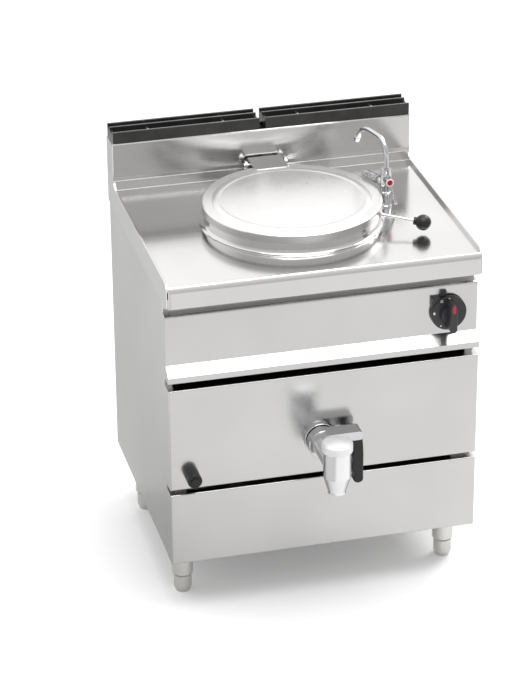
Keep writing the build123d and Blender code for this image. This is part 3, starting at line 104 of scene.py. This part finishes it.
def metal(name, tones, rough, grain_mm, brush, edge_mm, cloud_mm=250.0, rim_shade=1.0, side=1.0, glow=0.0):
    """Worked metal: fine lines, cloudy polish and softened edges.

    rim is the share of the colour kept where a round piece turns away from the view: a painted shade along
    its edges.
    side is the share of the colour kept on upright faces: a painted shade that leaves the tops lighter.
    glow is painted light: an even emission that stands in for the light a pale floor throws back on it.
    """
    mat, tree, shader, place = new_finish(name)
    spot = place.outputs["Object"]
    lines_at = node(tree, "ShaderNodeMapping", {"Vector": spot, "Scale": [1000 / size for size in grain_mm]})
    lines = node(
        tree,
        "ShaderNodeTexNoise",
        {"Vector": lines_at.outputs["Vector"], "Scale": 1.0, "Detail": 3.0, "Roughness": 0.6},
    )
    cloud = node(
        tree,
        "ShaderNodeTexNoise",
        {"Vector": spot, "Scale": 1000 / cloud_mm, "Detail": 2.0, "Roughness": 0.5},
    )
    tint = node(
        tree,
        "ShaderNodeValToRGB",
        {"Fac": cloud.outputs["Fac"]},
        stops=[(0.3, lin(tones[0])), (0.7, lin(tones[1]))],
    )
    colour = tint.outputs["Color"]
    # painted shade: the colour darkens where the surface turns away from the view
    if rim_shade < 1.0:
        facing = node(tree, "ShaderNodeLayerWeight", {"Blend": 0.5})
        shade = node(
            tree,
            "ShaderNodeValToRGB",
            {"Fac": facing.outputs["Facing"]},
            stops=[(0.0, grey(1.0)), (0.45, grey(1.0)), (0.80, grey(rim_shade)), (1.0, grey(max(rim_shade, 0.6)))],
        )
        colour = times(tree, colour, shade.outputs["Color"])
    # painted shade: the colour darkens on upright faces, so that tops read lighter
    if side < 1.0:
        slope = node(tree, "ShaderNodeSeparateXYZ", {"Vector": place.outputs["Normal"]})
        shade = node(
            tree,
            "ShaderNodeValToRGB",
            {"Fac": slope.outputs["Z"]},
            stops=[(0.2, grey(side)), (0.8, grey(1.0))],
        )
        colour = times(tree, colour, shade.outputs["Color"])
    tree.links.new(colour, shader.inputs["Base Color"])
    shader.inputs["Metallic"].default_value = 1.0
    spread = node(
        tree,
        "ShaderNodeMapRange",
        {
            "Value": lines.outputs["Fac"],
            "From Min": 0.3,
            "From Max": 0.7,
            "To Min": rough[0],
            "To Max": rough[1],
        },
    )
    tree.links.new(spread.outputs["Result"], shader.inputs["Roughness"])
    soft = node(tree, "ShaderNodeBevel", {"Radius": edge_mm * MM})
    bump = node(
        tree,
        "ShaderNodeBump",
        {
            "Strength": brush,
            "Distance": 0.4 * MM,
            "Height": lines.outputs["Fac"],
            "Normal": soft.outputs["Normal"],
        },
    )
    tree.links.new(bump.outputs["Normal"], shader.inputs["Normal"])
    # painted light: an even emission stands in for light thrown back from the floor
    if glow:
        shader.inputs["Emission Color"].default_value = (1, 1, 0.98, 1)
        shader.inputs["Emission Strength"].default_value = glow
    return mat


def moulding(name, tones, rough, grain_mm, relief):
    """Moulded, cast, enamelled or woven surface with an even fine grain."""
    mat, tree, shader, place = new_finish(name)
    spot = place.outputs["Object"]
    grain = node(
        tree,
        "ShaderNodeTexNoise",
        {"Vector": spot, "Scale": 1000 / grain_mm, "Detail": 2.0, "Roughness": 0.5},
    )
    cloud = node(tree, "ShaderNodeTexNoise", {"Vector": spot, "Scale": 1000 / 40.0, "Detail": 2.0})
    tint = node(
        tree,
        "ShaderNodeValToRGB",
        {"Fac": cloud.outputs["Fac"]},
        stops=[(0.3, lin(tones[0])), (0.7, lin(tones[1]))],
    )
    tree.links.new(tint.outputs["Color"], shader.inputs["Base Color"])
    shader.inputs["Roughness"].default_value = rough
    soft = node(tree, "ShaderNodeBevel", {"Radius": 0.6 * MM})
    bump = node(
        tree,
        "ShaderNodeBump",
        {
            "Strength": relief,
            "Distance": 0.1 * MM,
            "Height": grain.outputs["Fac"],
            "Normal": soft.outputs["Normal"],
        },
    )
    tree.links.new(bump.outputs["Normal"], shader.inputs["Normal"])
    return mat


# ---------------------------------------------------------------- finishes
# Real polishing lines lie about 0.05 mm apart. They are drawn nine to the centimetre, and as streaks
# a third of a metre long, so that they show.
line_mm = 10 / 9
streak_mm = 1000 / 3
# turned and plated pieces have slower waves: six to 100 mm around a fitting, eight on plate
turned_mm = 100 / 6
plate_mm = 100 / 8

# rolled stainless sheet, polished lengthwise: a soft mirror with a faint streak along X,
# or along Y on the sides
sheet_x = metal(
    "polished stainless sheet",
    tones=("cfcecd", "d6d5d4"),
    rough=(0.14, 0.24),
    grain_mm=(streak_mm, line_mm, line_mm),
    brush=0.12,
    edge_mm=1.2,
)
sheet_y = metal(
    "polished stainless side sheet",
    tones=("cfcecd", "d6d5d4"),
    rough=(0.16, 0.26),
    grain_mm=(line_mm, streak_mm, line_mm),
    brush=0.12,
    edge_mm=1.2,
)
# deep drawn worktop, polished finer: it mirrors the lid and the collar almost sharply
sheet_top = metal(
    "polished stainless worktop",
    tones=("d8d7d6", "dfdedd"),
    rough=(0.13, 0.20),
    grain_mm=(streak_mm, 10 / 6, 10 / 6),
    brush=0.05,
    edge_mm=1.5,
)
# turned and polished fittings: a clear mirror with lines around them
bright = metal(
    "fine polished stainless",
    tones=("d3d2d1", "dbdad9"),
    rough=(0.08, 0.16),
    grain_mm=(turned_mm, turned_mm, line_mm),
    brush=0.05,
    edge_mm=1.0,
)
# satin polished lid: a wide pale sheen on top; its colour is painted darker on the rolled sides, a painted
# shade
lid_steel = metal(
    "satin polished lid",
    tones=("e9e8e7", "efeeed"),
    rough=(0.27, 0.34),
    grain_mm=(turned_mm, turned_mm, line_mm),
    brush=0.05,
    edge_mm=1.0,
    side=0.62,
)
# drawn tube and mill finish sheet inside: matt grey metal without a mirror
frame_steel = metal(
    "bright inner frame tube",
    tones=("dad9d7", "e2e1df"),
    rough=(0.34, 0.44),
    grain_mm=(5, 5, 5),
    brush=0.05,
    edge_mm=0.8,
)
plain = metal(
    "mill finish stainless",
    tones=("9b9a98", "a9a8a6"),
    rough=(0.32, 0.45),
    grain_mm=(5, 5, 5),
    brush=0.10,
    edge_mm=0.8,
)
# satin legs, with a faint painted glow that stands in for the light the pale floor throws up on them
leg_metal = metal(
    "satin stainless tube",
    tones=("d2d1cd", "dcdbd7"),
    rough=(0.34, 0.44),
    grain_mm=(2, 2, 50),
    brush=0.12,
    edge_mm=0.8,
    glow=0.09,
)
# chromium plate: a sharp mirror, its colour darkened towards the rims as a painted shade; the cast tap's
# copy is painted paler, a painted light
chrome = metal(
    "bright chromium plate",
    tones=("d0d0d2", "dadadc"),
    rough=(0.04, 0.08),
    grain_mm=(plate_mm,) * 3,
    brush=0.01,
    edge_mm=0.7,
    rim_shade=0.16,
)
tap_chrome = metal(
    "chromium plate painted paler",
    tones=("eeeeef", "f5f5f6"),
    rough=(0.07, 0.12),
    grain_mm=(plate_mm,) * 3,
    brush=0.01,
    edge_mm=0.9,
    rim_shade=0.35,
)
# satin chromium plate on the drain cap: rougher, and its very pale colour is painted light that brightens
# the cap
satin_chrome = metal(
    "satin chromium plate",
    tones=("f4f4f5", "fafafb"),
    rough=(0.50, 0.58),
    grain_mm=(plate_mm,) * 3,
    brush=0.02,
    edge_mm=0.7,
)
# knurled plate: the 3 mm pattern is painted into the colour as dark flecks of painted shade and pale flecks
# of painted highlight, and the colour darkens towards the rims as a painted shade
knurl = metal(
    "knurled chromium plate",
    tones=("4a4a4b", "e2e2e4"),
    rough=(0.12, 0.22),
    grain_mm=(plate_mm,) * 3,
    brush=0.05,
    edge_mm=0.3,
    cloud_mm=100 / 33,
    rim_shade=0.2,
)
# machined brass and drawn copper: warm, half matt
brass = metal(
    "machined brass",
    tones=("b0894a", "c29a57"),
    rough=(0.24, 0.36),
    grain_mm=(10 / 3, 10 / 3, 10 / 3),
    brush=0.06,
    edge_mm=0.6,
)
copper = metal(
    "drawn copper tube",
    tones=("b0694a", "bd7657"),
    rough=(0.26, 0.40),
    grain_mm=(5, 5, 100 / 3),
    brush=0.06,
    edge_mm=0.4,
)

# moulded plastic from a spark eroded mould: deep black with a broken sheen, charcoal on the gas knob
black = moulding(
    "black moulded plastic",
    tones=("0b0b0b", "131313"),
    rough=0.38,
    grain_mm=0.25,
    relief=0.35,
)
charcoal = moulding(
    "charcoal moulded knob plastic",
    tones=("29282a", "343335"),
    rough=0.34,
    grain_mm=0.3,
    relief=0.25,
)
# fired enamel on the grilles: near black and smooth; the pale strips along its edges are a painted highlight
enamel = moulding(
    "dark satin enamel",
    tones=("222221", "2f2f2e"),
    rough=0.30,
    grain_mm=0.6,
    relief=0.25,
)
edge_highlight = moulding(
    "painted highlight on enamel edges",
    tones=("8d8d8b", "a4a4a2"),
    rough=0.25,
    grain_mm=0.6,
    relief=0.1,
)
# sand cast burner iron: matt and rough
iron = moulding(
    "raw grey cast iron",
    tones=("2a2a29", "3a3938"),
    rough=0.75,
    grain_mm=1.2,
    relief=0.8,
)
# glossy moulded index and pad printed marks
red = moulding(
    "red gloss button",
    tones=("b3181c", "c41e22"),
    rough=0.18,
    grain_mm=0.4,
    relief=0.05,
)
white = moulding(
    "white printed mark",
    tones=("dddddb", "e6e6e4"),
    rough=0.40,
    grain_mm=0.4,
    relief=0.03,
)
# a near black strip is a painted shade for the dark joint over the front panel; mineral wool under glass
# cloth is matt straw
shade_strip = moulding(
    "black strip for painted joint shade",
    tones=("060606", "0b0b0b"),
    rough=0.90,
    grain_mm=0.8,
    relief=0.4,
)
wool = moulding(
    "glass cloth faced mineral wool",
    tones=("a39a80", "b5ab90"),
    rough=0.95,
    grain_mm=2.0,
    relief=1.0,
)

by_slot = {
    "polished_sheet": sheet_x,
    "plain_sheet": plain,
    "bright_steel": bright,
    "leg_steel": leg_metal,
    "chrome": chrome,
    "grille_enamel": enamel,
    "black_plastic": black,
    "index_plastic": red,
    "brass": brass,
    "copper": copper,
    "burner_iron": iron,
    "mineral_wool": wool,
}
by_node = {
    "side_panel_left": sheet_y,
    "side_panel_right": sheet_y,
    "worktop": sheet_top,
    "drain_cap": satin_chrome,
    "lid": lid_steel,
    "cold_handle": knurl,
    "drain_valve_body": tap_chrome,
    "control_knob": charcoal,
    "knob_bezel": charcoal,
    "body_frame": frame_steel,
}
slots = {s["node"]: s["material_slot"] for s in frame["record"]["subparts"]}
for name, obj in nodes.items():
    obj.data.materials.clear()
    obj.data.materials.append(by_node.get(name, by_slot[slots[name]]))


# ---------------------------------------------------------------- thin trim and printed marks
X, Y, Z = Vector((1, 0, 0)), Vector((0, 1, 0)), Vector((0, 0, 1))
bpy.context.tool_settings.mesh_select_mode = (True, False, False)


def draw_outline(corners):
    """Draws a filled outline in edit mode, each corner extruded from the one before."""
    bpy.ops.object.select_all(action="DESELECT")
    bpy.ops.mesh.primitive_plane_add(size=MM, location=(0, 0, 0), enter_editmode=True)
    bpy.ops.mesh.merge(type="CENTER")
    bpy.ops.transform.translate(value=corners[0])
    for last, corner in zip(corners, corners[1:]):
        bpy.ops.mesh.extrude_region_move(TRANSFORM_OT_translate={"value": corner - last})
    bpy.ops.mesh.select_all(action="SELECT")
    bpy.ops.mesh.edge_face_add()


def finish_piece(name, mat, body):
    """Turns the faces outwards, leaves edit mode and sets the piece on the body that carries it."""
    bpy.ops.mesh.select_all(action="SELECT")
    bpy.ops.mesh.normals_make_consistent(inside=False)
    bpy.ops.object.mode_set(mode="OBJECT")
    bpy.ops.object.shade_smooth()
    obj = bpy.context.object
    obj.name = obj.data.name = name
    obj.data.materials.append(mat)
    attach(obj, body)


def turned_ring(profile, centre, axis, across, steps):
    """Spins an outline of (radius, height) corners about an axis."""
    centre = Vector(centre)
    draw_outline([centre + across * radius + axis * height for radius, height in profile])
    bpy.ops.mesh.delete(type="ONLY_FACE")
    bpy.ops.mesh.select_all(action="SELECT")
    bpy.ops.mesh.spin(steps=steps, angle=math.tau, center=centre, axis=axis)
    bpy.ops.mesh.select_all(action="SELECT")
    bpy.ops.mesh.remove_doubles(threshold=0.01 * MM)


def drawn_in_plate(outline, depth, origin, x_dir, y_dir):
    """Raises a flat outline by a depth; from 70 % of it on, the plate narrows to 90 %."""
    origin = Vector(origin)
    up = x_dir.cross(y_dir) * depth
    corners = [origin + x_dir * x + y_dir * y for x, y in outline]
    draw_outline(corners)
    for share in (0.7, 0.3):
        bpy.ops.mesh.extrude_region_move(TRANSFORM_OT_translate={"value": up * share})
    middle = sum(corners, Vector()) / len(corners)
    bpy.ops.transform.resize(value=(0.9, 0.9, 0.9), center_override=middle + up)


# soft embossed ring around the lid's raised middle: it rises over 14 mm and runs out over 12 mm
lid_low, lid_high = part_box("lid")
lid_mid = ((lid_low.x + lid_high.x) / 2, (lid_low.y + lid_high.y) / 2, 0)
lid_top = lid_high.z
swell_inner, swell_crest, swell_outer, swell_step = 0.174, 0.190, 0.202, 0.002
swell_foot = lid_top - 0.0022
swell = []
for i in range(8):
    rise = 0.0017 * math.sin(math.pi * i / 14) ** 2
    swell.append((swell_inner + swell_step * i, lid_top - 0.0009 + rise))
for i in range(7):
    fall = 0.0023 * math.sin(math.pi * i / 12) ** 2
    swell.append((swell_crest + swell_step * i, lid_top + 0.0008 - fall))
swell += [(swell_outer, swell_foot), (swell_inner, swell_foot)]
turned_ring(swell, lid_mid, Z, X, 160)
finish_piece("lid_swell_ring", lid_steel, "lid")

# marks printed on the knob's skirt: a ring for off, an arrow, and a large and a small flame
knob_low, knob_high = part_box("control_knob")
knob_x, knob_z = (knob_low.x + knob_high.x) / 2, (knob_low.z + knob_high.z) / 2
skirt_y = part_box("knob_bezel")[0].y - 1.2 * MM
ink = 0.4 * MM


def on_skirt(right, above):
    """A place on the knob's skirt, in mm from its middle."""
    return (knob_x + right * MM, skirt_y, knob_z + above * MM)


off_ring = [(0.0022, 0), (0.0035, 0), (0.0035, ink), (0.0022, ink)]
turned_ring(off_ring, on_skirt(-20, 34.5), -Y, X, 32)
finish_piece("knob_off_ring", white, "gas_knob")

arrow = [(-0.0022, 0.0), (0.0022, 0.0), (0.0, 0.0038)]
drawn_in_plate(arrow, ink, on_skirt(0, 39.5), X, Z)
finish_piece("knob_arrow", white, "gas_knob")

flame = [
    (0.0, -0.003),
    (0.0022, -0.0015),
    (0.0024, 0.0008),
    (0.0010, 0.0022),
    (0.0004, 0.0045),
    (-0.0008, 0.0020),
    (-0.0018, 0.0026),
    (-0.0024, 0.0002),
    (-0.0018, -0.0020),
]
for size, grow, right, above in (("large", 1.25, -38.5, 3.0), ("small", 0.85, -21.0, -32.5)):
    drawn_in_plate([(x * grow, z * grow) for x, z in flame], ink, on_skirt(right, above), X, Z)
    finish_piece("knob_flame_" + size, white, "gas_knob")

# red line let into the knob's grip, 0.3 mm proud of it
grip_line = [
    (-0.0040, 0.0),
    (0.0040, 0.0),
    (0.0044, 0.0150),
    (0.0026, 0.0185),
    (-0.0026, 0.0185),
    (-0.0044, 0.0150),
]
grip_line_foot = (knob_x, knob_low.y + 0.2 * MM, knob_high.z - 28.5 * MM)
drawn_in_plate(grip_line, 0.5 * MM, grip_line_foot, X, Z)
finish_piece("knob_grip_line", red, "gas_knob")

# white ring around the red index
index_low, index_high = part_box("hot_index")
index_mid = ((index_low.x + index_high.x) / 2, index_high.y, (index_low.z + index_high.z) / 2)
index_ring = [(0.0069, 0), (0.0104, 0), (0.0104, 0.0005), (0.0098, 0.0010), (0.0069, 0.0010)]
turned_ring(index_ring, index_mid, -Y, X, 48)
finish_piece("hot_index_ring", white, "hot_lever")

# folded bright edge along the riser's top, under the grilles: half a round bead
riser_low, riser_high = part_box("flue_riser")
grille_low, grille_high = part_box("flue_grille_left")
bead_radius = 2.4 * MM
bead_end = 1.0 * MM
bead = []
for i in range(9):
    a = math.pi * (0.5 + i / 8)
    bead.append((bead_radius * math.cos(a), bead_radius * math.sin(a)))
bead_length = riser_high.x - riser_low.x - 2 * bead_end
bead_start = (riser_low.x + bead_end, grille_low.y - 0.2 * MM, grille_low.z + bead_radius)
drawn_in_plate(bead, bead_length, bead_start, Y, Z)
finish_piece("riser_edge_fold", bright, "cabinet")

# painted highlight: pale strips along the top of each grille's three walls
wall_places = (2.2 * MM, 42.0 * MM, 69.0 * MM)
highlight_end = 2.0 * MM
highlight_outline = [(0, 0), (0.0010, 0), (0.0010, 0.0007), (0, 0.0007)]
for side in ("left", "right"):
    low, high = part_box("flue_grille_" + side)
    for row, y in enumerate(wall_places):
        start = (low.x + highlight_end, low.y + y, high.z - 0.2 * MM)
        drawn_in_plate(highlight_outline, high.x - low.x - 2 * highlight_end, start, Y, Z)
        finish_piece("grille_edge_%s_%d" % (side, row), edge_highlight, "cabinet")

# rivet heads on the grille's ribs, seen in its slots
rivet = [(0.0, -0.0008), (0.0032, -0.0008), (0.0032, 0.0008), (0.0020, 0.0022)]
rib_top = grille_high.z - 8.0 * MM
rib_places = (-0.3, -0.1, 0.1, 0.3)
slot_places = (0.391, 0.425)
for i, x in enumerate(rib_places):
    for row, y in enumerate(slot_places):
        turned_ring(rivet, (x, y, rib_top), Z, X, 24)
        finish_piece("grille_rivet_%d_%d" % (i, row), chrome, "cabinet")

# painted shade: a near black strip on the cross tube behind the joint over the front panel, standing in for
# the shade in that joint
shade_strip_width, shade_strip_height, shade_strip_depth = 0.756, 0.028, 0.004
shade_strip_foot = (-shade_strip_width / 2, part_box("body_frame")[0].y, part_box("front_panel")[1].z - 3.0 * MM)
shade_strip_outline = [(0, 0), (shade_strip_height, 0), (shade_strip_height, shade_strip_width), (0, shade_strip_width)]
drawn_in_plate(shade_strip_outline, shade_strip_depth, shade_strip_foot, Z, X)
finish_piece("joint_shade_strip", shade_strip, "cabinet")


# ---------------------------------------------------------------- floor, world and lights
bpy.ops.mesh.primitive_plane_add(size=40, location=(0, 0, 0))
floor = bpy.context.object
floor.name = "studio_floor"
mat, tree, shader, place = new_finish("matt studio floor")
shader.inputs["Roughness"].default_value = 0.9
spot = place.outputs["Object"]
mottle = node(tree, "ShaderNodeTexNoise", {"Vector": spot, "Scale": 1.5, "Detail": 2.0})
tone = node(
    tree,
    "ShaderNodeValToRGB",
    {"Fac": mottle.outputs["Fac"]},
    stops=[(0.3, grey(0.88)), (0.7, grey(0.90))],
)
# painted shade in the reflections: seen in the metal, the floor is painted greyer, and greyest close to the
# left side, which darkens the lower part of the left side panel
across = node(tree, "ShaderNodeSeparateXYZ", {"Vector": spot})
span = node(tree, "ShaderNodeMapRange", {"Value": across.outputs["X"], "From Min": -3.0, "From Max": 3.0})
reflected_shade = node(
    tree,
    "ShaderNodeValToRGB",
    {"Fac": span.outputs["Result"]},
    stops=[
        (0.0, grey(0.92)),
        (0.20, grey(0.74)),
        (0.33, grey(0.46)),
        (0.41, grey(0.36)),
        (0.46, grey(0.60)),
        (1.0, grey(0.64)),
    ],
)
rays = node(tree, "ShaderNodeLightPath")
seen = node(
    tree,
    "ShaderNodeMix",
    {
        "Factor": rays.outputs["Is Glossy Ray"],
        "A": tone.outputs["Color"],
        "B": reflected_shade.outputs["Color"],
    },
    data_type="RGBA",
)
tree.links.new(seen.outputs["Result"], shader.inputs["Base Color"])
glow = node(
    tree,
    "ShaderNodeMapRange",
    {"Value": rays.outputs["Is Camera Ray"], "To Min": 0.06, "To Max": 0.13},
)
shader.inputs["Emission Color"].default_value = grey(1.0)
tree.links.new(glow.outputs["Result"], shader.inputs["Emission Strength"])
floor.data.materials.append(mat)

# a room that is brighter overhead and behind the kettle; the camera itself sees plain white
world = bpy.data.worlds.new("studio")
bpy.context.scene.world = world
world.use_nodes = True
tree = world.node_tree
tree.nodes.clear()
where = node(tree, "ShaderNodeTexCoord")
heading = node(tree, "ShaderNodeSeparateXYZ", {"Vector": where.outputs["Generated"]})
rise = node(
    tree,
    "ShaderNodeValToRGB",
    {"Fac": heading.outputs["Z"]},
    stops=[(0.0, grey(0.62)), (0.35, grey(0.66)), (0.55, grey(0.72)), (0.78, grey(1.0)), (1.0, grey(1.0))],
)
behind = node(
    tree,
    "ShaderNodeMapRange",
    {"Value": heading.outputs["Y"], "From Min": -0.25, "From Max": 0.55},
    interpolation_type="SMOOTHSTEP",
)
room = node(
    tree,
    "ShaderNodeMix",
    {"Factor": behind.outputs["Result"], "A": rise.outputs["Color"], "B": grey(1.25)},
    data_type="RGBA",
)
room_light = node(tree, "ShaderNodeBackground", {"Color": room.outputs["Result"], "Strength": 1.0})
backdrop = node(tree, "ShaderNodeBackground", {"Color": grey(1.0), "Strength": 1.0})
path = node(tree, "ShaderNodeLightPath")
pick = node(
    tree,
    "ShaderNodeMixShader",
    {
        "Fac": path.outputs["Is Camera Ray"],
        1: room_light.outputs["Background"],
        2: backdrop.outputs["Background"],
    },
)
node(tree, "ShaderNodeOutputWorld", {"Surface": pick.outputs["Shader"]})


def soft_box(name, place, target, size, power):
    """A square area lamp that looks at a target."""
    data = bpy.data.lights.new(name, "AREA")
    data.shape = "RECTANGLE"
    data.size, data.size_y = size
    data.energy = power
    lamp = bpy.data.objects.new(name, data)
    lamp.location = place
    lamp.rotation_euler = (Vector(target) - Vector(place)).to_track_quat("-Z", "Y").to_euler()
    bpy.context.scene.collection.objects.link(lamp)


soft_box("overhead", (0.2, -0.6, 3.6), (0, 0.1, 0.8), (2.4, 2.4), 60)
soft_box("key", (2.6, 1.6, 3.2), (0, 0.0, 0.5), (1.6, 1.6), 70)

# ---------------------------------------------------------------- camera
yaw, pitch, roll = 0.248, -0.463, -0.007
camera_place = (-1.6867, -6.2743, 3.8186)
picture_width, focal_pixels, sensor_width = 525, 2833.9, 36.0

cam_data = bpy.data.cameras.new("camera")
cam = bpy.data.objects.new("camera", cam_data)
bpy.context.scene.collection.objects.link(cam)
bpy.context.scene.camera = cam
ahead = Vector((math.sin(yaw) * math.cos(pitch), math.cos(yaw) * math.cos(pitch), math.sin(pitch)))
level = Vector((math.cos(yaw), -math.sin(yaw), 0))
over = level.cross(ahead)
right = level * math.cos(roll) + over * math.sin(roll)
up = over * math.cos(roll) - level * math.sin(roll)
cam.matrix_world = Matrix.Translation(camera_place) @ Matrix((right, up, -ahead)).transposed().to_4x4()
cam_data.sensor_fit = "HORIZONTAL"
cam_data.sensor_width = sensor_width
cam_data.lens = focal_pixels * sensor_width / picture_width
cam_data.clip_end = 100
bpy.context.scene.view_settings.view_transform = "Standard"
